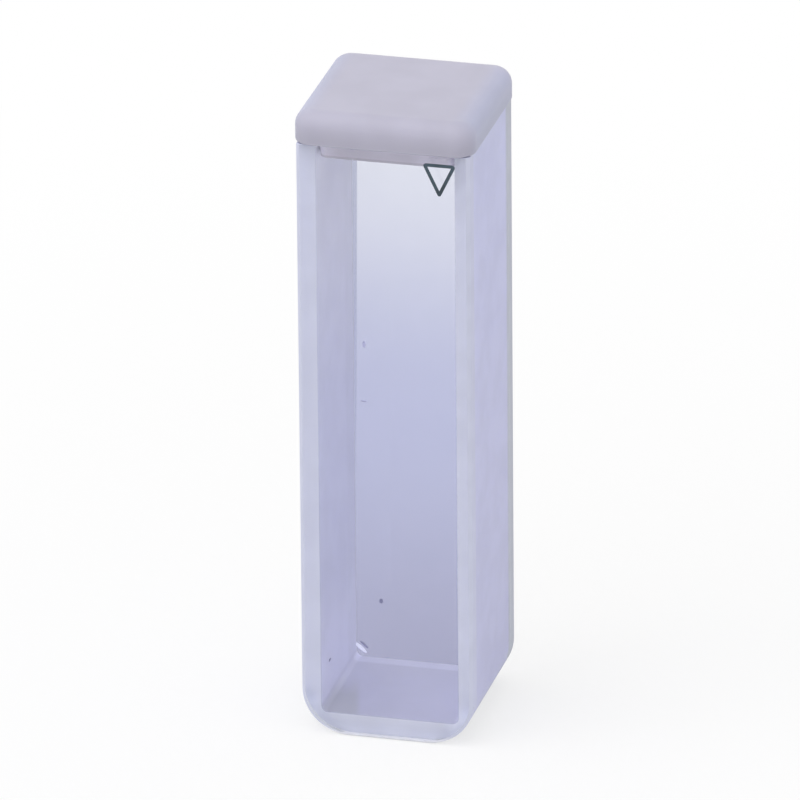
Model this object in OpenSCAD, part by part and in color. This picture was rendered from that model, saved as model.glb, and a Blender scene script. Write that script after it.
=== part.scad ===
// Square spectrophotometer cell: a frosted quartz U of two side walls and a
// floor, closed front and back by polished quartz windows, with a PTFE lid.
//
// The cell stands on its floor with the origin under its centre. X runs across
// the windows, Y runs along the light path with the front window towards -Y,
// and Z is up. All sizes are in millimetres.

/* [Cell] */
// Clear distance between the two windows, which the light crosses
light_path = 10; // [5:0.5:20]
// Outside width, across the windows
cell_w = 12.5; // [10:0.5:25]
// Height of the cell without its lid
cell_h = 45; // [20:1:60]
// Thickness of each frosted side wall
side_wall = 1.25; // [0.8:0.05:2]
// Thickness of each polished window
window_t = 1.25; // [0.8:0.05:2]
// Thickness of the floor
floor_t = 1.4; // [1:0.1:4]
// Outside radius where the side walls turn into the floor
foot_r = 3.4; // [1:0.1:4]
// Inside radius where the side walls meet the floor
inner_r = 0.5; // [0.3:0.1:2]
// Bevel ground along the outer upright and lower edges of the windows
arris = 0.25; // [0.1:0.05:0.5]
// Small bevel around the outside of the rim
rim_arris = 0.05; // [0.05:0.05:0.3]

/* [Lid] */
// Thickness of the lid's plate, up from the cell's rim
lid_t = 2.4; // [2:0.1:6]
// How far the plate reaches past the cell on every side
lid_overhang = 0.25; // [0:0.05:1]
// Radius of the plate's four upright corners
lid_corner_r = 1.4; // [1.3:0.1:3]
// Radius along the plate's top edge
lid_top_r = 1.2; // [0.3:0.1:1.3]
// Radius along the plate's lower edge
lid_lower_r = 0.2; // [0.2:0.1:1]
// How deep the plug reaches into the cell
plug_depth = 1.3; // [0.8:0.1:8]
// Clearance between the plug and the inside of the cell, at the rim
plug_gap = 0.1; // [0.05:0.05:0.4]
// Radius of the plug's four upright corners
plug_corner_r = 0.6; // [0.5:0.1:2]
// How far the plug narrows on every side towards its lower end
plug_taper = 0.1; // [0.05:0.05:0.4]

/* [Hidden] */
$fn = 96;

inner_w = cell_w - 2 * side_wall;
cell_d = light_path + 2 * window_t;
lid_w = cell_w + 2 * lid_overhang;
lid_d = cell_d + 2 * lid_overhang;
plug_w = inner_w - 2 * plug_gap;
plug_d = light_path - 2 * plug_gap;
lower_r = min(lid_lower_r, lid_t - lid_top_r);

// Upright outline w wide and h high, standing on the X axis, with its two
// lower corners rounded to r
module round_foot(w, h, r) {
    translate([-w / 2, r]) square([w, h - r]);
    translate([r - w / 2, 0]) square([w - 2 * r, r]);
    for (side = [-1, 1])
        translate([side * (w / 2 - r), r]) circle(r);
}

// Cutters for the bevels along the rim, over the two side faces
module rim_bevels() {
    for (side = [-1, 1])
        translate([side * cell_w / 2, 0, cell_h])
            rotate([0, 45, 0])
            cube([sqrt(2) * rim_arris, 2 * cell_d, sqrt(2) * rim_arris], center = true);
}

// Section of a window, span long about the origin, from its inner face on the
// X axis down to its outer face, with its far outer corner bevelled by far
module window_section(span, far) {
    polygon([
        [span / 2, 0], [-span / 2, 0], [-span / 2, arris - window_t],
        [arris - span / 2, -window_t], [span / 2 - far, -window_t],
        [span / 2, far - window_t]
    ]);
}

// Full-height bar of window, run wide along X, bevelled top and bottom
module window_bar(run) {
    translate([-run / 2, 0, cell_h / 2])
        rotate([90, 0, 90])
        linear_extrude(run)
        mirror([1, -1])
        window_section(cell_h, rim_arris);
}

// Round corner of a window's foot, bevelled round its outer face
module window_corner() {
    rotate([90, 0, 0])
        rotate_extrude()
        polygon([
            [0, 0], [foot_r, 0], [foot_r, window_t - arris],
            [foot_r - arris, window_t], [0, window_t]
        ]);
}

// Polished plate with the cell's end outline, its inner face at y = 0, and its
// outer face towards -Y with a bevel all the way round
module window_plate() {
    foot_run = cell_w - 2 * foot_r;
    difference() {
        union() {
            intersection() {
                window_bar(cell_w);
                translate([0, 0, foot_r])
                    linear_extrude(cell_h - foot_r)
                    window_section(cell_w, arris);
            }
            window_bar(foot_run);
            for (side = [-1, 1])
                translate([side * foot_run / 2, 0, foot_r]) window_corner();
        }
        rim_bevels();
    }
}

// Block w x d x h that stands on z = 0 and carries the child along its edge.
// The child is the edge's section, from x = 0 out to the corner radius r.
module edged_block(w, d, h, r) {
    run_x = w - 2 * r;
    run_y = d - 2 * r;
    translate([-run_x / 2, -run_y / 2, 0]) cube([run_x, run_y, h]);
    for (turn = [0, 180])
        rotate(turn) {
            translate([run_x / 2, run_y / 2, 0])
                rotate([90, 0, 0]) linear_extrude(run_y) children();
            translate([-run_x / 2, run_y / 2, 0])
                rotate([90, 0, 90]) linear_extrude(run_x) children();
        }
    for (x = [-1, 1], y = [-1, 1])
        translate([x * run_x / 2, y * run_y / 2, 0])
            rotate_extrude() children();
}

// Edge of the lid's plate: a full round above and a softer one below
module lid_edge() {
    intersection() {
        square([lid_corner_r, lid_t]);
        union() {
            square([lid_corner_r - lower_r, lid_t - lid_top_r]);
            translate([0, lower_r])
                square([lid_corner_r, lid_t - lid_top_r - lower_r]);
            square([lid_corner_r - lid_top_r, lid_t]);
            translate([lid_corner_r - lower_r, lower_r])
                circle(lower_r);
            translate([lid_corner_r - lid_top_r, lid_t - lid_top_r])
                circle(lid_top_r);
        }
    }
}

// Edge of the plug, leaning in towards its lower end
module plug_edge() {
    polygon([
        [0, 0], [plug_corner_r - plug_taper, 0], [plug_corner_r, plug_depth],
        [0, plug_depth]
    ]);
}

module u_frame() {
    color([0.76, 0.77, 0.87])
        difference() {
            translate([0, light_path / 2, 0])
                rotate([90, 0, 0])
                linear_extrude(light_path)
                difference() {
                    round_foot(cell_w, cell_h, foot_r);
                    translate([0, floor_t])
                        round_foot(inner_w, cell_h, inner_r);
                }
            rim_bevels();
        }
}

module front_window() {
    color([0.82, 0.83, 0.92, 0.35])
        translate([0, -light_path / 2, 0]) window_plate();
}

module rear_window() {
    color([0.82, 0.83, 0.92, 0.35])
        rotate(180)
        translate([0, -light_path / 2, 0]) window_plate();
}

module lid() {
    color([0.79, 0.78, 0.84]) {
        translate([0, 0, cell_h])
            edged_block(lid_w, lid_d, lid_t, lid_corner_r) lid_edge();
        translate([0, 0, cell_h - plug_depth])
            edged_block(plug_w, plug_d, plug_depth, plug_corner_r) plug_edge();
    }
}

u_frame();
front_window();
rear_window();
lid();
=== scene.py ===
"""Finishes a square quartz lab cell with its lid, and sets the stage for it.

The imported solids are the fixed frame. Each piece below takes its place and
main sizes from them. Lengths are in metres unless their name or a comment
says millimetres.
"""

import math

import bmesh
import bpy
from mathutils import Matrix, Vector


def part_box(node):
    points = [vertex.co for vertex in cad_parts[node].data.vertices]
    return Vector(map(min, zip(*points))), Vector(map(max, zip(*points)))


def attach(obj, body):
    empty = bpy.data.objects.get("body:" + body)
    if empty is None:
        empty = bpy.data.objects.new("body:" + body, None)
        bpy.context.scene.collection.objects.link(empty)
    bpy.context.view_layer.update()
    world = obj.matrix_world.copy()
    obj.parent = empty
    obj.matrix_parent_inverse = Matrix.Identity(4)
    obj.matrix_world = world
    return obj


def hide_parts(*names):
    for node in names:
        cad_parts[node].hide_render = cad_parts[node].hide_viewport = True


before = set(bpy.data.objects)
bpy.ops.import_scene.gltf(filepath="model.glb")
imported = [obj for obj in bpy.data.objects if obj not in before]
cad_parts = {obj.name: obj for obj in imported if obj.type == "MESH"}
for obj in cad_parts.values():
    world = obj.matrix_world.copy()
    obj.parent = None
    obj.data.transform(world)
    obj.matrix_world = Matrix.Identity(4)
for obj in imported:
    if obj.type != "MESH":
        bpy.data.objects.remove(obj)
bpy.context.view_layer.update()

bl_info = {
    "name": "Quartz Lab Cell",
    "version": (1, 0, 0),
    "blender": (4, 5, 0),
    "location": "3D View > Sidebar > Lab Cell",
    "description": "Builds the finished pieces of a square quartz cell and its studio",
    "category": "Add Mesh",
}

MM = 0.001
BODY = "root"

# How far the studio floor lies below the cell, so that no two faces coincide,
# and how far it reaches from the middle
FLOOR_DROP = 0.03 * MM
FLOOR_REACH = 4.0

# Thickness of each frosted wall, in millimetres
SIDE_WALL_MM = 1.25

# How far the middle of a speck stands off what it lies on
SPECK_LIFT = 0.02 * MM

# How far the drip is sunk into the rear window
DRIP_SUNK = 0.02 * MM

# Grain and cloudy patches of ground quartz, in millimetres
FROST_GRAIN_MM = 0.16
FROST_PATCH_MM = 2.5

FRAME_LOW, FRAME_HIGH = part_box("u_frame")
PANE_LOW, PANE_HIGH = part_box("front_window")
LID_LOW, LID_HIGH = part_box("lid")

CELL_WIDTH = FRAME_HIGH.x - FRAME_LOW.x
CELL_HEIGHT = FRAME_HIGH.z
LIGHT_PATH = FRAME_HIGH.y - FRAME_LOW.y


# -------------------------------------------------------------- properties


def position(name, default_mm, description, **limits):
    """A property for a place along an axis, with its default in millimetres."""
    return bpy.props.FloatProperty(
        name=name, description=description, default=default_mm * MM,
        precision=5, subtype="DISTANCE", unit="LENGTH", **limits,
    )


def length(name, default_mm, description):
    """A length property with its default in millimetres."""
    return position(name, default_mm, description, min=0.0)


def colour(name, default, description):
    """A colour property, in scene-linear red, green and blue."""
    return bpy.props.FloatVectorProperty(
        name=name, description=description, default=default,
        min=0.0, max=1.0, size=3, subtype="COLOR",
    )


def angle(name, degrees, description):
    """An angle property with its default in degrees."""
    return bpy.props.FloatProperty(
        name=name, description=description, default=math.radians(degrees),
        subtype="ANGLE",
    )


class CellSizes(bpy.types.PropertyGroup):
    """Sizes of the quartz body that its boxes don't give"""

    side_wall: length("Side Wall", SIDE_WALL_MM, "Thickness of each frosted wall")
    floor_thickness: length("Floor", 1.4, "Thickness of the floor")
    foot_radius: length("Foot Radius", 3.4, "Outside radius of the lower edges")
    inner_radius: length("Inner Radius", 0.5, "Radius between walls and floor")
    arris: length("Arris", 0.25, "Bevel ground along the outer edges")
    rim_arris: length("Rim Arris", 0.05, "Small bevel around the rim")
    seam: length("Seam", 0.01, "Width of the fused seam between quartz pieces")


class LidSizes(bpy.types.PropertyGroup):
    """Sizes of the lid that its box doesn't give"""

    corner_radius: length("Corner Radius", 1.4, "Radius of the upright corners")
    top_radius: length("Top Radius", 1.2, "Radius along the top edge")
    lower_radius: length("Lower Radius", 0.2, "Radius along the lower edge")
    plug_gap: length("Plug Gap", 0.1, "Clearance between plug and cell")
    plug_corner_radius: length("Plug Corner", 0.6, "Radius of the plug's corners")
    plug_taper: length("Plug Taper", 0.1, "How far the plug narrows on each side")
    plug_edge: length("Plug Edge", 0.06, "Radius along the plug's lower edge")


class MarkSizes(bpy.types.PropertyGroup):
    """The printed mark on the front window"""

    right: position("Right", 4.1, "From the cell's middle to the mark's middle")
    up: position("Up", 43.1, "From the table to the mark's middle")
    width: length("Width", 2.5, "Overall width")
    height: length("Height", 2.6, "Overall height")
    stroke: length("Stroke", 0.25, "Width of the printed line")
    rounding: length("Rounding", 0.35, "How far its corners are cut back")
    thickness: length("Thickness", 0.01, "Thickness of the ink")


class DripSizes(bpy.types.PropertyGroup):
    """The drip of fused quartz in a rear corner of the floor"""

    right: position("Right", -4.66, "From the cell's middle to the drip's middle")
    up: position("Up", 2.10, "From the table to the drip's middle")
    length: length("Length", 1.1, "From tip to tip")
    thickness: length("Thickness", 0.26, "Thickness at its middle")
    slope: angle("Slope", 41.0, "How steeply it runs down towards the middle")


class Finishes(bpy.types.PropertyGroup):
    """Colours of the finishes"""

    outer: colour("Frosted Wall", (0.588, 0.603, 0.838), "Ground outer faces")
    # Painted shade: the outer walls darken towards the foot.
    outer_foot: colour("Frosted Foot", (0.54, 0.548, 0.765), "The same at the foot")
    inner: colour("Inner Wall", (0.845, 0.85, 0.98), "Inner faces and floor")
    # Painted shade: a darker, greyer patch on the floor.
    smudge: colour("Floor_Shade_Patch", (0.75, 0.76, 0.795), "Grey smudge on the floor")
    end: colour("Wall End", (0.59, 0.61, 0.775), "Wall ends seen through a window")
    end_foot: colour("Floor End", (0.59, 0.607, 0.74), "The same at the floor")
    edge: colour("Window Edge", (0.57, 0.585, 0.77), "Ground edges of the front")
    # Painted shade: the rear edges are a darker copy of the front ones.
    shaded_rear_edge: colour("Rear Edge", (0.47, 0.493, 0.58), "Ground edges at the rear")
    edge_inside: colour("Inside Edge", (0.97, 0.975, 1.0), "Edges seen from within")
    # Painted shade: edges seen from within darken towards the foot.
    foot_inside: colour("Inside Foot", (0.66, 0.69, 0.80), "The same at the foot")
    arris: colour("Arris", (0.60, 0.62, 0.77), "Bevels of the front window")
    # Painted shade: a darker copy of the front arris.
    shaded_rear_arris: colour("Rear Arris", (0.50, 0.52, 0.62), "Bevels at the rear")
    # Painted highlight on the bevels along the table.
    foot_arris: colour("Foot Arris", (0.86, 0.87, 0.94), "Bevels on the table")
    # Painted shade: the window tint deepens from the rim down to the floor.
    tint_top: colour("Tint Top", (0.87, 0.88, 0.93), "Window tint at the rim")
    tint_middle: colour("Tint Middle", (0.70, 0.715, 0.85), "Window tint half way")
    tint_foot: colour("Tint Foot", (0.62, 0.625, 0.75), "Window tint at the floor")
    # Painted shade beside the side walls at the rear window.
    tint_joint: colour("Joint Tint", (0.64, 0.65, 0.74), "Joints of the rear window")
    lid: colour("Lid", (0.53, 0.517, 0.63), "Moulded lid")
    # Painted light: the left and right of the lid are bluer, as if lit from the side.
    lid_flank: colour("Lid Flank", (0.505, 0.52, 0.685), "Left and right of the lid")
    # Painted light: the plug seen through a window is lighter and warmer than the lid.
    lid_plug: colour("Lid Plug", (0.556, 0.528, 0.625), "Plug seen through a window")
    # Painted highlight: the drip is near white and glows.
    drip: colour("Drip", (0.93, 0.94, 1.0), "Drip of fused quartz")
    glint: colour("Glint", (0.92, 0.93, 1.0), "Glint of the drip")
    # Painted shade: a dark bead along the drip.
    gap: colour("Gap", (0.4, 0.4, 0.56), "Dark line along the drip")
    gap_lit: colour("Lit Gap", (0.56, 0.56, 0.76), "The same where light gets in")
    ink: colour("Ink", (0.031, 0.052, 0.071), "Orientation mark")
    dust: colour("Dust", (0.35, 0.35, 0.505), "Grains of dust")
    lint: colour("Lint", (0.74, 0.735, 0.92), "Paler specks of lint")


class StudioSettings(bpy.types.PropertyGroup):
    """Camera and light"""

    azimuth: angle("Azimuth", 14.46, "Camera turn round the cell")
    elevation: angle("Elevation", 22.91, "Camera height above the horizon")
    roll: angle("Roll", -0.5, "Camera turn about its own line of sight")
    aim_right: position("Aim Right", -0.47, "Where the camera looks, to the right")
    aim_up: position("Aim Up", 23.575, "Where the camera looks, up from the table")
    distance: length("Distance", 1000.0, "From the camera to where it looks")
    lens: bpy.props.FloatProperty(
        name="Lens", description="Focal length on a 36 mm sensor",
        default=636.8, min=1.0, subtype="DISTANCE_CAMERA",
    )
    ambient: bpy.props.FloatProperty(
        name="Ambient", description="Light from all round", default=0.75, min=0.0,
    )
    key: bpy.props.FloatProperty(
        name="Key", description="Power of the soft overhead light",
        default=2.0, min=0.0, unit="POWER",
    )


# ------------------------------------------------------------ node helpers


def new_material(name):
    """An empty node material: (material, its tree, its Principled BSDF)."""
    material = bpy.data.materials.new(name)
    material.use_nodes = True
    tree = material.node_tree
    return material, tree, tree.nodes["Principled BSDF"]


def feed(tree, socket, value):
    """Links a socket to another one, or sets it to a plain value."""
    if isinstance(value, bpy.types.NodeSocket):
        tree.links.new(value, socket)
    else:
        socket.default_value = value


def add(tree, kind, **inputs):
    """A new node, with its inputs fed by name."""
    node = tree.nodes.new(kind)
    for name, value in inputs.items():
        feed(tree, node.inputs[name.replace("_", " ")], value)
    return node


def calculate(tree, operation, *values):
    """The result of a Math node."""
    node = tree.nodes.new("ShaderNodeMath")
    node.operation = operation
    for socket, value in zip(node.inputs, values):
        feed(tree, socket, value)
    return node.outputs[0]


def product(tree, first, *others):
    """All the values multiplied together."""
    for other in others:
        first = calculate(tree, "MULTIPLY", first, other)
    return first


def fade(tree, value, start, end):
    """A smooth rise from 0 where value is start to 1 where it is end."""
    node = add(
        tree, "ShaderNodeMapRange", Value=value, From_Min=start, From_Max=end
    )
    node.interpolation_type = "SMOOTHSTEP"
    return node.outputs["Result"]


def blend(tree, factor, first, second, mode="MIX"):
    """One colour turning into another, or into their product with MULTIPLY."""
    node = tree.nodes.new("ShaderNodeMix")
    node.data_type = "RGBA"
    node.blend_type = mode
    factor_in, first_in, second_in = (node.inputs[i] for i in (0, 6, 7))
    feed(tree, factor_in, factor)
    feed(tree, first_in, first)
    feed(tree, second_in, second)
    return node.outputs[2]


def shade(tree, rgb, level):
    """A colour made darker or lighter by a number from elsewhere."""
    node = tree.nodes.new("ShaderNodeVectorMath")
    node.operation = "SCALE"
    feed(tree, node.inputs[0], rgb)
    feed(tree, node.inputs["Scale"], level)
    return node.outputs[0]


def range_to(tree, value, low, high, start=0.0, end=1.0):
    """An even rise from low where the value is start to high where it is end."""
    node = add(
        tree, "ShaderNodeMapRange", Value=value,
        From_Min=start, From_Max=end, To_Min=low, To_Max=high,
    )
    return node.outputs["Result"]


def gain(tree, mask, amount):
    """1 where the mask is 0, and the amount where it is 1."""
    return range_to(tree, mask, 1.0, amount)


def place(tree):
    """The point being shaded, in the piece's own space."""
    return tree.nodes.new("ShaderNodeTexCoord").outputs["Object"]


def parts_of(tree, vector):
    """The X, Y and Z of a vector."""
    return add(tree, "ShaderNodeSeparateXYZ", Vector=vector).outputs


def opaque(rgb, scale=1.0):
    """A colour with its alpha, as a socket takes it, made lighter or darker."""
    return (*(c * scale for c in rgb), 1.0)


def squared(rgb):
    """A colour whose square root is the one given, as a socket takes it."""
    return opaque([c * c for c in rgb])


def show_mix(tree, factor, first, second, output="Material Output"):
    """Shows the first shader where the factor is 0, and the second where it is 1."""
    mix = add(tree, "ShaderNodeMixShader", Fac=factor)
    feed(tree, mix.inputs[1], first)
    feed(tree, mix.inputs[2], second)
    feed(tree, tree.nodes[output].inputs["Surface"], mix.outputs["Shader"])


# ---------------------------------------------------- shared node groups


def new_group(name, inputs, outputs):
    """A shader node group with number inputs: (tree, its input, its output)."""
    tree = bpy.data.node_groups.new(name, "ShaderNodeTree")
    for label, default in inputs.items():
        socket = tree.interface.new_socket(
            label, in_out="INPUT", socket_type="NodeSocketFloat"
        )
        socket.default_value = default
    for label, kind in outputs.items():
        tree.interface.new_socket(label, in_out="OUTPUT", socket_type=kind)
    given = tree.nodes.new("NodeGroupInput")
    result = tree.nodes.new("NodeGroupOutput")
    return tree, given.outputs, result.inputs


def use_group(tree, builder, **inputs):
    """Places a shared group in a material, and builds it the first time."""
    group = bpy.data.node_groups.get(builder.__name__) or builder()
    node = tree.nodes.new("ShaderNodeGroup")
    node.node_tree = group
    for name, value in inputs.items():
        feed(tree, node.inputs[name.replace("_", " ")], value)
    return node.outputs


def surface_grain():
    """Fine grain as a normal, and slow cloudy patches from 0 to 1."""
    tree, given, result = new_group(
        "surface_grain",
        {"Grain": 0.1 * MM, "Depth": 0.01 * MM, "Patch": 3.0 * MM},
        {"Patches": "NodeSocketFloat", "Normal": "NodeSocketVector"},
    )
    point = place(tree)
    fine = add(
        tree, "ShaderNodeTexNoise", Vector=point, Detail=3.0,
        Scale=calculate(tree, "DIVIDE", 1.0, given["Grain"]),
    )
    clouds = add(
        tree, "ShaderNodeTexNoise", Vector=point, Detail=2.0,
        Scale=calculate(tree, "DIVIDE", 1.0, given["Patch"]),
    )
    bump = add(
        tree, "ShaderNodeBump", Height=fine.outputs["Fac"], Distance=given["Depth"]
    )
    feed(tree, result["Patches"], fade(tree, clouds.outputs["Fac"], 0.3, 0.7))
    feed(tree, result["Normal"], bump.outputs["Normal"])
    return tree


def window_opening():
    """1 over the clear opening of a window, 0 where it is fused to the walls."""
    tree, given, result = new_group(
        "window_opening",
        {"Half Width": 5.0 * MM, "Floor": 1.5 * MM, "Radius": 0.8 * MM},
        {"Mask": "NodeSocketFloat"},
    )
    x, _, z = parts_of(tree, place(tree))
    radius = given["Radius"]
    across = calculate(tree, "ADD", calculate(tree, "ABSOLUTE", x), radius)
    across = calculate(tree, "SUBTRACT", across, given["Half Width"])
    down = calculate(tree, "ADD", given["Floor"], radius)
    down = calculate(tree, "SUBTRACT", down, z)
    square_x = calculate(tree, "POWER", calculate(tree, "MAXIMUM", across, 0.0), 2.0)
    square_z = calculate(tree, "POWER", calculate(tree, "MAXIMUM", down, 0.0), 2.0)
    reach = calculate(tree, "SQRT", calculate(tree, "ADD", square_x, square_z))
    inside = calculate(tree, "LESS_THAN", reach, radius)
    feed(tree, result["Mask"], inside)
    return tree


# --------------------------------------------------------------- materials


def grained(tree, grain_mm, depth_mm, patch_mm):
    """The shared grain, with its width, its depth and its patches' width."""
    return use_group(
        tree, surface_grain, Grain=grain_mm * MM, Depth=depth_mm * MM,
        Patch=patch_mm * MM,
    )


def coat(tree, shader, tone, normal, roughness):
    """Gives a Principled BSDF its colour, its normal and its roughness."""
    feed(tree, shader.inputs["Base Color"], tone)
    feed(tree, shader.inputs["Normal"], normal)
    shader.inputs["Roughness"].default_value = roughness


def ground_finish(tree, shader, tone, normal, softness):
    """Ground quartz: matt, finely pitted and lit a little from within."""
    coat(tree, shader, tone, normal, 0.55)
    shader.inputs["Subsurface Weight"].default_value = softness
    shader.inputs["Subsurface Radius"].default_value = (1.0, 1.0, 1.2)
    shader.inputs["Subsurface Scale"].default_value = 1.0 * MM


def inside_walls(tree, x, sizes):
    """How far a point lies from the inner face of the nearer side wall."""
    half_opening = CELL_WIDTH / 2 - sizes.side_wall
    return calculate(tree, "SUBTRACT", half_opening, calculate(tree, "ABSOLUTE", x))


def outer_wall_material(finishes):
    """The outside of the frosted U, deeper in tone at its foot and near its rear edge,
    as painted shade.
    """
    material, tree, shader = new_material("frosted_outer")
    grain = grained(tree, FROST_GRAIN_MM, 0.02, FROST_PATCH_MM)
    _, y, z = parts_of(tree, place(tree))
    # Painted shade: darker towards the foot, and darker and greyer near the rear edge
    # and just above the table.
    height = fade(tree, z, 0.0, CELL_HEIGHT)
    tone = blend(tree, height, opaque(finishes.outer_foot), opaque(finishes.outer))
    rear = fade(tree, y, LIGHT_PATH / 2 - 0.9 * MM, LIGHT_PATH / 2 - 0.3 * MM)
    under = fade(tree, z, 2.5 * MM, 1.7 * MM)
    darker = calculate(tree, "MAXIMUM", rear, under)
    tone = blend(tree, darker, tone, opaque(finishes.shaded_rear_edge))
    tone = shade(tree, tone, range_to(tree, grain["Patches"], 0.97, 1.03))
    ground_finish(tree, shader, tone, grain["Normal"], 0.35)
    return material


def wall_end_material(finishes):
    """The ends of the frosted walls and floor, seen through a window, with painted
    light and shade.
    """
    material, tree, shader = new_material("wall_end")
    grain = grained(tree, FROST_GRAIN_MM, 0.004, FROST_PATCH_MM)
    x, _, height = parts_of(tree, place(tree))
    # Painted light and shade: the right end is darker half way up and lighter under the
    # lid, and all ends grow lighter towards the rim, the foot and the table.
    under_lid = fade(tree, height, 42.6 * MM, 44.4 * MM)
    right_tone = range_to(tree, under_lid, 0.965, 1.08)
    right = gain(tree, fade(tree, x, 4.7 * MM, 5.1 * MM), right_tone)
    rim = gain(tree, fade(tree, height, 25.0 * MM, 42.0 * MM), 1.03)
    foot = gain(tree, fade(tree, height, 3.4 * MM, 1.4 * MM), 1.06)
    table = gain(tree, fade(tree, height, 0.9 * MM, 0.0), 1.18)
    # Painted light: the lighter lower corners reach a little further in on the right
    shifted = calculate(tree, "ADD", x, 0.35 * MM)
    aside = fade(tree, calculate(tree, "ABSOLUTE", shifted), 4.2 * MM, 5.2 * MM)
    lower = fade(tree, height, 3.0 * MM, 1.9 * MM)
    corner = gain(tree, product(tree, aside, lower), 1.14)
    patches = range_to(tree, grain["Patches"], 0.97, 1.03)
    level = product(tree, patches, right, rim, foot, table, corner)
    low = fade(tree, height, 2.4 * MM, 1.2 * MM)
    tone = blend(tree, low, opaque(finishes.end), opaque(finishes.end_foot))
    tone = shade(tree, tone, level)
    ground_finish(tree, shader, tone, grain["Normal"], 0.2)
    return material


def inner_wall_material(finishes, sizes):
    """The inside of the frosted U, with painted light and shade at fillets, seams and
    floor.
    """
    material, tree, shader = new_material("frosted_inner")
    grain = grained(tree, FROST_GRAIN_MM, 0.005, FROST_PATCH_MM)
    x, y, z = parts_of(tree, place(tree))
    side = inside_walls(tree, x, sizes)
    rise = calculate(tree, "SUBTRACT", z, sizes.floor_thickness)
    depth = calculate(tree, "SUBTRACT", LIGHT_PATH / 2, y)
    wall = fade(tree, rise, 0.2 * MM, 0.8 * MM)
    corner = calculate(tree, "MAXIMUM", side, rise)
    # Painted highlight along the fillets between walls and floor.
    fillet = fade(tree, corner, 0.9 * sizes.inner_radius, 0.4 * sizes.inner_radius)
    # Painted light: the floor glows along its rear edge, as if lit from behind.
    fused = product(
        tree, fade(tree, depth, 1.15 * MM, 0.85 * MM),
        fade(tree, rise, 0.5 * MM, 0.15 * MM),
    )
    # Painted light: the walls are lighter low down.
    lower = product(tree, wall, fade(tree, rise, 9.0 * MM, 2.5 * MM))
    # Painted shade: the walls darken towards the rear window, most of all at the joint.
    band = product(tree, wall, fade(tree, depth, 2.6 * MM, 2.0 * MM))
    seam = product(tree, wall, fade(tree, depth, 0.3 * MM, 0.1 * MM))
    # Painted shade: a darker, greyer patch at the front left of the floor.
    slant = calculate(tree, "ADD", x, product(tree, y, 0.25))
    smudge = product(
        tree, fade(tree, slant, -3.3 * MM, -3.9 * MM),
        fade(tree, y, 2.4 * MM, -2.4 * MM), fade(tree, rise, 0.5 * MM, 0.1 * MM),
    )
    # Painted light near the rim, under the lid.
    upper = fade(tree, rise, 39.5 * MM, 42.5 * MM)
    # Painted shade at the front of the floor: it falls below 0 on the walls, where gain
    # stays 1
    front = calculate(tree, "SUBTRACT", fade(tree, y, 1.0 * MM, -5.0 * MM), wall)
    patches = range_to(tree, grain["Patches"], 0.975, 1.025)
    gains = (
        (fillet, 1.16), (fused, 1.20), (lower, 1.18), (upper, 1.14), (front, 0.89),
        (band, 0.965), (seam, 0.88),
    )
    level = product(tree, patches, *(gain(tree, *pair) for pair in gains))
    tone = blend(tree, smudge, opaque(finishes.inner), opaque(finishes.smudge))
    tone = shade(tree, tone, level)
    ground_finish(tree, shader, tone, grain["Normal"], 0.2)
    return material


def edge_material(name, outside, foot, finishes):
    """Ground edges of a window, which let light in, with a foot tone for a painted
    highlight, and painted shade within near the foot.
    """
    material, tree, shader = new_material(name)
    grain = grained(tree, 0.12, 0.005, 2.0)
    height = parts_of(tree, place(tree))["Z"]
    # Painted highlight: the edges take the lighter foot tone just above the table.
    low = fade(tree, height, 0.9 * MM, 0.1 * MM)
    tone = blend(tree, low, opaque(outside), opaque(foot))
    tone = shade(tree, tone, range_to(tree, grain["Patches"], 0.97, 1.03))
    coat(tree, shader, tone, grain["Normal"], 0.5)
    # Painted shade: seen from within, the edges darken near the foot.
    inside = blend(
        tree, fade(tree, height, 3.6 * MM, 2.4 * MM),
        opaque(finishes.edge_inside), opaque(finishes.foot_inside),
    )
    passing = add(tree, "ShaderNodeBsdfTranslucent", Color=inside)
    within = tree.nodes.new("ShaderNodeNewGeometry").outputs["Backfacing"]
    clear_of_table = fade(tree, height, 0.02 * MM, 0.08 * MM)
    lit = product(tree, within, clear_of_table)
    show_mix(tree, lit, shader.outputs["BSDF"], passing.outputs["BSDF"])
    return material


def let_lamps_through(tree, shader, passed):
    """Lets shadow and diffuse rays straight through a glass shader."""
    clear = add(tree, "ShaderNodeBsdfTransparent", Color=(passed, passed, passed, 1))
    path = tree.nodes.new("ShaderNodeLightPath").outputs
    lamp = calculate(tree, "MAXIMUM", path["Is Shadow Ray"], path["Is Diffuse Ray"])
    show_mix(tree, lamp, shader.outputs["BSDF"], clear.outputs["BSDF"])


def polished_material(name):
    """Clear polished quartz. Its Base Color is fed by whoever calls."""
    material, tree, shader = new_material(name)
    shader.inputs["Roughness"].default_value = 0.0
    shader.inputs["IOR"].default_value = 1.458
    shader.inputs["Transmission Weight"].default_value = 1.0
    let_lamps_through(tree, shader, 0.97)
    return material, tree, shader


def outer_window_material():
    """The outer face of a window, clear with a trace of smear."""
    material, tree, shader = polished_material("window_outer")
    grain = grained(tree, 0.5, 0.0002, 4.0)
    smear = blend(tree, grain["Patches"], (0.975, 0.98, 0.985, 1), (1, 1, 1, 1))
    feed(tree, shader.inputs["Base Color"], smear)
    feed(tree, shader.inputs["Normal"], grain["Normal"])
    return material


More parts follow.
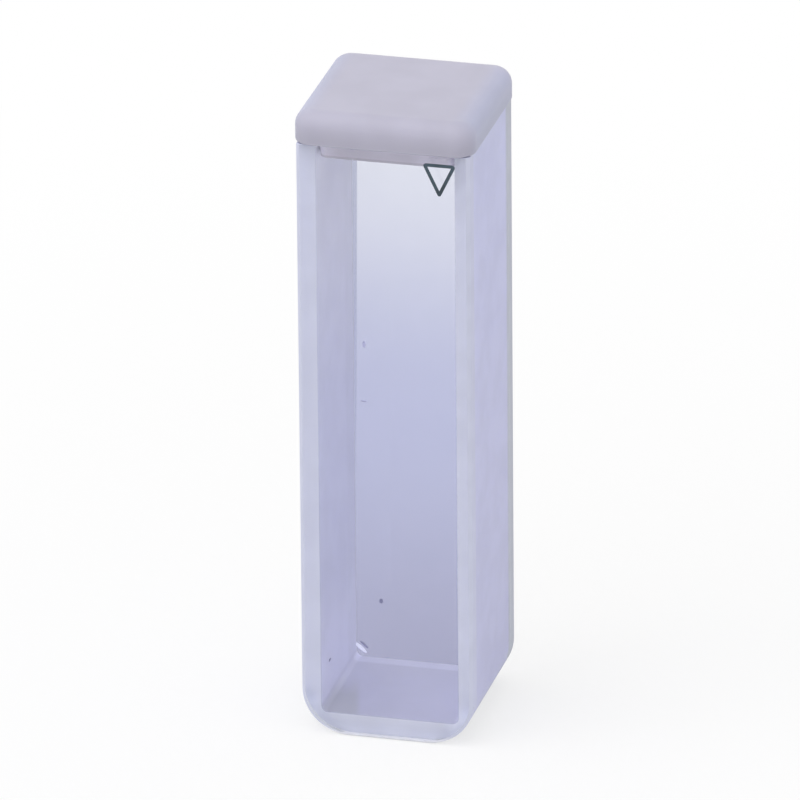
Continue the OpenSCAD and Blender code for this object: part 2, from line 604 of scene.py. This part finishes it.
def inner_window_material(finishes, sizes):
    """The inner face of a window, tinted deeper towards the floor as painted shade.

    At the rear its two sides are darker with painted shade, where the walls are fused
    to it.
    The shader tints each crossing by the square root of its colour, and only this
    face is tinted, so the colours go in squared.
    """
    material, tree, shader = polished_material("window_inner")
    x, y, height = parts_of(tree, place(tree))
    rise = range_to(tree, height, 0.0, 1.0, sizes.floor_thickness, CELL_HEIGHT)
    ramp = add(tree, "ShaderNodeValToRGB", Fac=rise)
    ramp.color_ramp.interpolation = "EASE"
    stops = ramp.color_ramp.elements
    stops.new(0.5)
    # Painted shade: the tint deepens from the rim down to the floor.
    tints = (finishes.tint_foot, finishes.tint_middle, finishes.tint_top)
    for stop, tint in zip(stops, tints):
        stop.color = squared(tint)
    lap = 0.03 * MM
    opening = use_group(
        tree, window_opening, Half_Width=CELL_WIDTH / 2 - sizes.side_wall + lap,
        Floor=sizes.floor_thickness - lap, Radius=sizes.inner_radius + lap,
    )
    tint = blend(tree, opening["Mask"], (1, 1, 1, 1), ramp.outputs["Color"])
    # Painted shade at the rear joints, wider and deeper towards the rim.
    width = range_to(tree, height, 0.04 * MM, 0.43 * MM, 10.0 * MM, CELL_HEIGHT)
    aside = calculate(tree, "SUBTRACT", inside_walls(tree, x, sizes), width)
    joint = product(
        tree, fade(tree, aside, 0.04 * MM, -0.04 * MM),
        fade(tree, y, 0.0, 1.0 * MM), fade(tree, height, 6.0 * MM, 40.0 * MM),
    )
    tint = blend(tree, joint, tint, squared(finishes.tint_joint), "MULTIPLY")
    feed(tree, shader.inputs["Base Color"], tint)
    return material


def lid_material(finishes):
    """White fluoropolymer: satin and translucent, with painted light on its flanks and
    plug and painted shade low down.
    """
    material, tree, shader = new_material("lid_ptfe")
    grain = grained(tree, 0.3, 0.004, 3.5)
    x, y, z = parts_of(tree, place(tree))
    # Painted light: the flanks turn bluer.
    flank = fade(tree, calculate(tree, "ABSOLUTE", x), 4.6 * MM, 6.4 * MM)
    between = fade(tree, calculate(tree, "ABSOLUTE", y), 6.4 * MM, 4.4 * MM)
    flank = product(tree, flank, between)
    tone = blend(tree, flank, opaque(finishes.lid), opaque(finishes.lid_flank))
    # Painted light: the plug is lighter, and lighter still under the rim and towards
    # both ends.
    rise = calculate(tree, "SUBTRACT", z, CELL_HEIGHT)
    plug = fade(tree, rise, 0.0, -0.05 * MM)
    tone = blend(tree, plug, tone, opaque(finishes.lid_plug))
    # Painted shade: darker towards the lid's lower edge, and along the plug's lower
    # edge.
    lower = fade(tree, rise, 2.3 * MM, 0.0)
    under_rim = product(tree, plug, fade(tree, rise, -1.0 * MM, 0.0))
    right = product(tree, plug, fade(tree, x, 1.4 * MM, 3.1 * MM))
    left = product(tree, plug, fade(tree, x, -3.2 * MM, -4.6 * MM))
    edge = fade(tree, rise, -1.04 * MM, -1.14 * MM)
    patches = range_to(tree, grain["Patches"], 0.975, 1.025)
    gains = (
        (lower, 0.82), (plug, 1.32), (under_rim, 1.22), (right, 1.25), (left, 1.18),
        (edge, 0.76),
    )
    level = product(tree, patches, *(gain(tree, *pair) for pair in gains))
    coat(tree, shader, shade(tree, tone, level), grain["Normal"], 0.42)
    shader.inputs["IOR"].default_value = 1.35
    shader.inputs["Subsurface Weight"].default_value = 0.4
    shader.inputs["Subsurface Radius"].default_value = (1.0, 0.9, 0.9)
    shader.inputs["Subsurface Scale"].default_value = 0.8 * MM
    return material


def ink_material(finishes):
    """Printed ink, thinner in places."""
    material, tree, shader = new_material("ink")
    grain = grained(tree, 0.12, 0.003, 0.5)
    rgb = finishes.ink
    tone = blend(tree, grain["Patches"], opaque(rgb, 0.85), opaque(rgb, 1.5))
    coat(tree, shader, tone, grain["Normal"], 0.5)
    return material


def drip_material(finishes):
    """Smooth quartz that ran out of the joint when it was fused, near white and glowing
    by emission as a painted highlight.
    """
    material, tree, shader = new_material("fused_drip_and_glint")
    grain = grained(tree, 0.3, 0.002, 0.4)
    tone = blend(tree, grain["Patches"], opaque(finishes.drip), (1, 1, 1, 1))
    coat(tree, shader, tone, grain["Normal"], 0.2)
    # Painted highlight: the drip glows though it is no lamp.
    shader.inputs["Emission Color"].default_value = opaque(finishes.glint)
    shader.inputs["Emission Strength"].default_value = 0.45
    return material


def gap_material(finishes):
    """Painted shade: the dark line along the drip, lighter in patches."""
    material, tree, shader = new_material("drip_painted_shade")
    grain = grained(tree, 0.1, 0.002, 0.3)
    dark, lit = opaque(finishes.gap), opaque(finishes.gap_lit)
    tone = blend(tree, grain["Patches"], dark, lit)
    coat(tree, shader, tone, grain["Normal"], 0.6)
    return material


def speck_material(name, rgb):
    """Matt dust or lint."""
    material, tree, shader = new_material(name)
    grain = grained(tree, 0.05, 0.01, 0.1)
    tone = blend(tree, grain["Patches"], opaque(rgb, 0.8), opaque(rgb, 1.2))
    coat(tree, shader, tone, grain["Normal"], 0.9)
    return material


def seen_directly(tree):
    """1 where a camera, glossy or transmission ray looks, and 0 for light."""
    path = tree.nodes.new("ShaderNodeLightPath").outputs
    seen = calculate(tree, "MAXIMUM", path["Is Camera Ray"], path["Is Glossy Ray"])
    return calculate(tree, "MAXIMUM", seen, path["Is Transmission Ray"])


def floor_material():
    """White floor that glows where it is seen, and more away from the cell.

    Near the cell it keeps a share of plain matt white, for the shadow.
    """
    material, tree, shader = new_material("studio_floor")
    shader.inputs["Base Color"].default_value = (1, 1, 1, 1)
    shader.inputs["Roughness"].default_value = 1.0
    shader.inputs["Specular IOR Level"].default_value = 0.0
    glow = add(tree, "ShaderNodeEmission", Color=(1, 1, 1, 1), Strength=1.0)
    reach = tree.nodes.new("ShaderNodeVectorMath")
    reach.operation = "LENGTH"
    feed(tree, reach.inputs[0], place(tree))
    away = fade(tree, reach.outputs["Value"], 30.0 * MM, 120.0 * MM)
    share = product(tree, seen_directly(tree), range_to(tree, away, 0.65, 1.0))
    show_mix(tree, share, shader.outputs["BSDF"], glow.outputs["Emission"])
    return material


# ------------------------------------------------------------ mesh helpers


def near(a, b):
    """True where two lengths are the same to a micrometre."""
    return abs(a - b) < 1e-6


def box_mesh(low, high):
    """A bmesh box between two corners."""
    low, high = Vector(low), Vector(high)
    bm = bmesh.new()
    bmesh.ops.create_cube(bm, size=1.0)
    bmesh.ops.scale(bm, vec=high - low, verts=bm.verts)
    bmesh.ops.translate(bm, vec=(low + high) / 2, verts=bm.verts)
    return bm


def bevel(bm, edges, offset, segments):
    """Rounds edges, or cuts them flat with one segment."""
    return bmesh.ops.bevel(
        bm, geom=list(edges), offset=offset, offset_type="OFFSET",
        affect="EDGES", segments=segments, profile=0.5, material=-1,
        clamp_overlap=False,
    )


def edges_along(bm, axis, test):
    """The edges that run along one axis and whose two ends pass a test."""
    others = [i for i in range(3) if i != axis]
    return [
        e for e in bm.edges
        if all(near(e.verts[0].co[i], e.verts[1].co[i]) for i in others)
        and all(test(v.co) for v in e.verts)
    ]


def edges_within(bm, test):
    """The edges whose two ends pass a test."""
    return [e for e in bm.edges if all(test(v.co) for v in e.verts)]


def open_face(bm, z):
    """Takes away the flat face at one height."""
    face = next(f for f in bm.faces if all(near(v.co.z, z) for v in f.verts))
    bmesh.ops.delete(bm, geom=[face], context="FACES_ONLY")


def give_slot(verts, index):
    """Gives the faces round some vertices the material of that index."""
    for face in {f for v in verts for f in v.link_faces}:
        face.material_index = index


def join(bm, other):
    """Adds another bmesh to this one and frees it."""
    mesh = bpy.data.meshes.new("joined")
    other.to_mesh(mesh)
    other.free()
    bm.from_mesh(mesh)
    bpy.data.meshes.remove(mesh)


def make_object(name, bm, materials, smooth_angle=30.0):
    """Turns a bmesh into a shaded object at the origin."""
    mesh = bpy.data.meshes.new(name)
    bm.normal_update()
    bm.to_mesh(mesh)
    bm.free()
    mesh.shade_smooth()
    mesh.set_sharp_from_angle(angle=math.radians(smooth_angle))
    for material in materials:
        mesh.materials.append(material)
    piece = bpy.data.objects.new(name, mesh)
    bpy.context.scene.collection.objects.link(piece)
    return piece


def finish_piece(piece, slot, *replaced):
    """Says what a piece rides on and what it stands for; the finish it is given is not
    used.
    """
    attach(piece, BODY)
    if replaced:
        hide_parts(*replaced)


# ------------------------------------------------------------ piece meshes

# Segments round each foot of the U and the windows, so that they line up
FOOT_SEGMENTS = 24

# A face looks along an axis where its normal's share of that axis is above this
SQUARE_ON = 0.99

OUTER_SLOT, INNER_SLOT, EDGE_SLOT, ARRIS_SLOT = range(4)
DUST_SLOT, LINT_SLOT = range(2)

# Where each speck lies, its size in millimetres, and its finish
REAR_GLASS = LIGHT_PATH / 2 - SPECK_LIFT
LEFT_WALL = SIDE_WALL_MM * MM - CELL_WIDTH / 2 + SPECK_LIFT
SPECKS = (
    ((-3.16 * MM, REAR_GLASS, 5.85 * MM), (0.29, 0.08, 0.40), DUST_SLOT),
    ((-4.24 * MM, REAR_GLASS, 25.64 * MM), (0.25, 0.05, 0.52), LINT_SLOT),
    ((-4.31 * MM, REAR_GLASS, 21.25 * MM), (0.52, 0.05, 0.10), LINT_SLOT),
    ((LEFT_WALL, -2.66 * MM, 4.37 * MM), (0.05, 0.60, 0.22), DUST_SLOT),
)


def pane_mesh(sizes):
    """The front window: rounded at the foot, with an arris round its face."""
    low, high = PANE_LOW.copy(), PANE_HIGH.copy()
    high.y -= sizes.seam
    bm = box_mesh(low, high)
    foot = edges_along(bm, 1, lambda p: near(p.z, low.z))
    bevel(bm, foot, sizes.foot_radius, FOOT_SEGMENTS)
    front = edges_within(bm, lambda p: near(p.y, low.y))
    upper = [e for e in front if all(near(v.co.z, high.z) for v in e.verts)]
    bevel(bm, [e for e in front if e not in upper], sizes.arris, segments=1)
    rim = [e for e in bm.edges if all(near(v.co.z, high.z) for v in e.verts)]
    inner_rim = edges_within(bm, lambda p: near(p.y, high.y) and near(p.z, high.z))
    bevel(bm, [e for e in rim if e not in inner_rim], sizes.rim_arris, segments=1)
    bm.normal_update()
    for face in bm.faces:
        if face.normal.y < -SQUARE_ON:
            face.material_index = OUTER_SLOT
        elif face.normal.y > SQUARE_ON:
            face.material_index = INNER_SLOT
        elif face.normal.y < -0.1 or 0.1 < face.normal.z < 0.9:
            face.material_index = ARRIS_SLOT
        else:
            face.material_index = EDGE_SLOT
    return bm


def frame_mesh(sizes):
    """The frosted U: an outline of eight corners drawn out along Y."""
    half = CELL_WIDTH / 2
    inner = half - sizes.side_wall
    top = CELL_HEIGHT
    floor = sizes.floor_thickness
    outline = [
        (-half, 0), (half, 0), (half, top), (inner, top),
        (inner, floor), (-inner, floor), (-inner, top), (-half, top),
    ]
    bm = bmesh.new()
    corners = [bm.verts.new((x, FRAME_LOW.y, z)) for x, z in outline]
    face = bm.faces.new(corners)
    grown = bmesh.ops.extrude_face_region(bm, geom=[face])
    moved = [v for v in grown["geom"] if isinstance(v, bmesh.types.BMVert)]
    bmesh.ops.translate(bm, vec=(0, LIGHT_PATH, 0), verts=moved)
    bmesh.ops.recalc_face_normals(bm, faces=bm.faces)

    def lengthwise(x, z):
        return edges_along(bm, 1, lambda p: near(abs(p.x), x) and near(p.z, z))

    bevel(bm, lengthwise(half, 0), sizes.foot_radius, FOOT_SEGMENTS)
    bevel(bm, lengthwise(inner, floor), sizes.inner_radius, segments=8)
    bevel(bm, lengthwise(half, top), sizes.rim_arris, segments=1)
    bm.normal_update()
    for face in bm.faces:
        middle = face.calc_center_median()
        if abs(face.normal.y) > SQUARE_ON:
            face.material_index = EDGE_SLOT
        elif abs(middle.x) < inner + sizes.seam and middle.z > floor - sizes.seam:
            face.material_index = INNER_SLOT
        else:
            face.material_index = OUTER_SLOT
    return bm


def drip_mesh(drip):
    """A sliver of fused quartz across a rear corner, with a dark bead of painted shade
    above it.
    """
    bm = bmesh.new()
    turn = Matrix.Rotation(drip.slope, 3, "Y")
    # Each bead's size, and its shift up and right in thicknesses of the drip
    beads = ((1.0, 0.0), (0.72, 0.9))
    for index, (size, shift) in enumerate(beads):
        bead = bmesh.ops.create_uvsphere(bm, u_segments=24, v_segments=16, radius=0.5)
        verts = bead["verts"]
        thick = drip.thickness * size
        aside = drip.thickness * shift
        spot = Vector((
            drip.right + aside, LIGHT_PATH / 2 + DRIP_SUNK - thick / 2,
            drip.up + aside,
        ))
        bmesh.ops.scale(bm, vec=(drip.length * size, thick, thick), verts=verts)
        bmesh.ops.rotate(bm, verts=verts, cent=(0, 0, 0), matrix=turn)
        bmesh.ops.translate(bm, vec=spot, verts=verts)
        give_slot(verts, index)
    return bm


def speck_mesh(specks):
    """Flat specks, from the place, the size and the finish of each."""
    bm = bmesh.new()
    for spot, size_mm, index in specks:
        grain = bmesh.ops.create_icosphere(bm, subdivisions=2, radius=0.5)["verts"]
        bmesh.ops.scale(bm, vec=Vector(size_mm) * MM, verts=grain)
        bmesh.ops.translate(bm, vec=spot, verts=grain)
        give_slot(grain, index)
    return bm


def mark_mesh(mark):
    """An outlined triangle that points down, with rounded corners."""
    face = PANE_LOW.y
    wide, tall = mark.width / 2, mark.height / 2
    middle = Vector((mark.right, face, mark.up))
    bm = bmesh.new()
    corners = ((-wide, tall), (wide, tall), (0, -tall))
    verts = [bm.verts.new(middle + Vector((x, 0, z))) for x, z in corners]
    grown = bmesh.ops.extrude_face_region(bm, geom=[bm.faces.new(verts)])["geom"]
    raised = [g for g in grown if isinstance(g, bmesh.types.BMVert)]
    bmesh.ops.translate(bm, vec=(0, -mark.thickness, 0), verts=raised)
    outer = edges_along(bm, 1, lambda p: True)
    bm.normal_update()
    ends = [f for f in bm.faces if abs(f.normal.y) > SQUARE_ON]
    bmesh.ops.inset_region(
        bm, faces=ends, thickness=mark.stroke, depth=0.0, use_even_offset=True
    )
    bmesh.ops.bridge_loops(bm, edges=[e for f in ends for e in f.edges])
    bmesh.ops.delete(bm, geom=ends, context="FACES_ONLY")
    bevel(bm, outer, mark.rounding, segments=6)
    bmesh.ops.recalc_face_normals(bm, faces=bm.faces)
    return bm


def lid_mesh(sizes, side_wall):
    """The lid: a soft-edged plate with the plug bridged to its underside."""
    upright = 2
    bm = box_mesh((LID_LOW.x, LID_LOW.y, CELL_HEIGHT), LID_HIGH)
    corners = edges_along(bm, upright, lambda p: True)
    bevel(bm, corners, sizes.corner_radius, segments=12)
    top = edges_within(bm, lambda p: near(p.z, LID_HIGH.z))
    bevel(bm, top, sizes.top_radius, segments=12)
    bottom = edges_within(bm, lambda p: near(p.z, CELL_HEIGHT))
    bevel(bm, bottom, sizes.lower_radius, segments=6)
    open_face(bm, CELL_HEIGHT)
    half_x = CELL_WIDTH / 2 - side_wall - sizes.plug_gap
    half_y = LIGHT_PATH / 2 - sizes.plug_gap
    plug = box_mesh((-half_x, -half_y, LID_LOW.z), (half_x, half_y, CELL_HEIGHT))
    corners = edges_along(plug, upright, lambda p: True)
    bevel(plug, corners, sizes.plug_corner_radius, segments=8)
    end = [v for v in plug.verts if near(v.co.z, LID_LOW.z)]
    narrow = Vector((1 - sizes.plug_taper / half_x, 1 - sizes.plug_taper / half_y, 1))
    bmesh.ops.scale(plug, vec=narrow, verts=end)
    lower = edges_within(plug, lambda p: near(p.z, LID_LOW.z))
    bevel(plug, lower, sizes.plug_edge, segments=3)
    open_face(plug, CELL_HEIGHT)
    join(bm, plug)
    rims = [e for e in bm.edges if e.is_boundary]
    bmesh.ops.bridge_loops(bm, edges=rims)
    bmesh.ops.recalc_face_normals(bm, faces=bm.faces)
    return bm


def turn_to_rear(bm):
    """Turns a front piece half round, to the rear."""
    half_turn = Matrix.Rotation(math.pi, 3, "Z")
    bmesh.ops.rotate(bm, verts=bm.verts, cent=(0, 0, 0), matrix=half_turn)


# --------------------------------------------------------------- operators


class CELL_OT_body(bpy.types.Operator):
    """Build the frosted U and the two polished windows"""

    bl_idname = "cell.body"
    bl_label = "Quartz Body"

    def execute(self, context):
        sizes = context.scene.cell_sizes
        finishes = context.scene.cell_finishes
        walls = [
            outer_wall_material(finishes),
            inner_wall_material(finishes, sizes),
            wall_end_material(finishes),
        ]
        body = make_object("frosted_u", frame_mesh(sizes), walls)
        finish_piece(body, "frosted_quartz", "u_frame")
        glass = [outer_window_material(), inner_window_material(finishes, sizes)]
        # Painted highlight: the front edges and arrises turn lighter at the table.
        foot = finishes.foot_arris
        ground = [
            edge_material("window_edge", finishes.edge, foot, finishes),
            edge_material("arris", finishes.arris, foot, finishes),
        ]
        # Painted shade: the rear window's edges and arrises are darker copies of the
        # front ones.
        shaded_rear_edge = finishes.shaded_rear_edge
        rear_ground = [
            edge_material("shaded_rear_edge", shaded_rear_edge, shaded_rear_edge, finishes),
            edge_material("shaded_rear_arris", finishes.shaded_rear_arris, foot, finishes),
        ]
        front = make_object("front_pane", pane_mesh(sizes), glass + ground)
        finish_piece(front, "clear_quartz", "front_window")
        rear_mesh = pane_mesh(sizes)
        turn_to_rear(rear_mesh)
        rear = make_object("rear_pane", rear_mesh, glass + rear_ground)
        finish_piece(rear, "clear_quartz", "rear_window")
        return {"FINISHED"}


class CELL_OT_details(bpy.types.Operator):
    """Add the fused drip with its painted highlight and painted shade, the orientation
    mark and a few specks
    """

    bl_idname = "cell.details"
    bl_label = "Details"

    def execute(self, context):
        scene = context.scene
        finishes = scene.cell_finishes
        quartz = [drip_material(finishes), gap_material(finishes)]
        drip = make_object("fused_drip_and_glint", drip_mesh(scene.cell_drip), quartz)
        finish_piece(drip, "frosted_quartz")
        mark = make_object(
            "flow_mark", mark_mesh(scene.cell_mark), [ink_material(finishes)]
        )
        finish_piece(mark, "clear_quartz")
        specks = [
            speck_material("dust", finishes.dust), speck_material("lint", finishes.lint)
        ]
        dust = make_object("dust_specks", speck_mesh(SPECKS), specks)
        finish_piece(dust, "clear_quartz")
        return {"FINISHED"}


class CELL_OT_lid(bpy.types.Operator):
    """Build the moulded lid with its plug"""

    bl_idname = "cell.lid"
    bl_label = "Lid"

    def execute(self, context):
        scene = context.scene
        mesh = lid_mesh(scene.cell_lid, scene.cell_sizes.side_wall)
        lid = make_object("lid_body", mesh, [lid_material(scene.cell_finishes)])
        finish_piece(lid, "ptfe", "lid")
        return {"FINISHED"}


def direction(azimuth, elevation):
    """Unit vector towards a viewer at that azimuth and elevation."""
    return Vector((
        math.sin(azimuth) * math.cos(elevation),
        -math.cos(azimuth) * math.cos(elevation),
        math.sin(elevation),
    ))


def area_light(name, size, power, azimuth, elevation, distance):
    """A square soft light that faces the middle of the cell."""
    data = bpy.data.lights.new(name, "AREA")
    data.size = size
    data.energy = power
    light = bpy.data.objects.new(name, data)
    bpy.context.scene.collection.objects.link(light)
    back = direction(math.radians(azimuth), math.radians(elevation))
    light.location = Vector((0, 0, CELL_HEIGHT / 2)) + back * distance
    light.rotation_mode = "QUATERNION"
    light.rotation_quaternion = back.to_track_quat("Z", "Y")


def add_world(scene, studio):
    """White all round where it is seen, and even ambient light."""
    world = bpy.data.worlds.new("studio")
    world.use_nodes = True
    tree = world.node_tree
    ambient = tree.nodes["Background"]
    ambient.inputs["Color"].default_value = (1, 1, 1, 1)
    ambient.inputs["Strength"].default_value = studio.ambient
    white = add(tree, "ShaderNodeBackground", Color=(1, 1, 1, 1), Strength=1.0)
    show_mix(
        tree, seen_directly(tree), ambient.outputs["Background"],
        white.outputs["Background"], "World Output",
    )
    scene.world = world


def add_camera(scene, studio):
    """A long lens, turned and rolled as the settings say."""
    data = bpy.data.cameras.new("camera")
    data.lens = studio.lens
    data.sensor_width = 36.0
    data.clip_start = 0.01
    data.clip_end = 20.0
    camera = bpy.data.objects.new("camera", data)
    scene.collection.objects.link(camera)
    target = Vector((studio.aim_right, 0, studio.aim_up))
    back = direction(studio.azimuth, studio.elevation)
    camera.rotation_mode = "QUATERNION"
    turn = back.to_track_quat("Z", "Y")
    roll = Matrix.Rotation(studio.roll, 3, "Z").to_quaternion()
    camera.rotation_quaternion = turn @ roll
    camera.location = target + back * studio.distance
    scene.camera = camera


class CELL_OT_stage(bpy.types.Operator):
    """Lay the floor and place the lights, the world and the camera"""

    bl_idname = "cell.stage"
    bl_label = "Stage"

    def execute(self, context):
        scene = context.scene
        studio = scene.cell_studio
        bm = bmesh.new()
        bmesh.ops.create_grid(bm, x_segments=1, y_segments=1, size=FLOOR_REACH)
        bmesh.ops.translate(bm, vec=(0, 0, -FLOOR_DROP), verts=bm.verts)
        make_object("studio_floor", bm, [floor_material()])
        area_light(
            "key", size=0.7, power=studio.key, azimuth=-35, elevation=62, distance=0.8
        )
        add_world(scene, studio)
        add_camera(scene, studio)
        scene.view_settings.view_transform = "Standard"
        return {"FINISHED"}


class CELL_PT_panel(bpy.types.Panel):
    """Lists the builders"""

    bl_idname = "CELL_PT_panel"
    bl_label = "Lab Cell"
    bl_space_type = "VIEW_3D"
    bl_region_type = "UI"
    bl_category = "Lab Cell"

    def draw(self, context):
        for operator in BUILDERS:
            self.layout.operator(operator.bl_idname)


GROUPS = {
    "cell_sizes": CellSizes,
    "cell_lid": LidSizes,
    "cell_mark": MarkSizes,
    "cell_drip": DripSizes,
    "cell_finishes": Finishes,
    "cell_studio": StudioSettings,
}
BUILDERS = (CELL_OT_stage, CELL_OT_body, CELL_OT_details, CELL_OT_lid)


def register():
    for cls in (*GROUPS.values(), *BUILDERS, CELL_PT_panel):
        bpy.utils.register_class(cls)
    for name, cls in GROUPS.items():
        setattr(bpy.types.Scene, name, bpy.props.PointerProperty(type=cls))


def unregister():
    for name in GROUPS:
        delattr(bpy.types.Scene, name)
    for cls in (CELL_PT_panel, *BUILDERS, *GROUPS.values()):
        bpy.utils.unregister_class(cls)


def main():
    register()
    bpy.ops.cell.stage()
    bpy.ops.cell.body()
    bpy.ops.cell.details()
    bpy.ops.cell.lid()


if __name__ == "__main__":
    main()
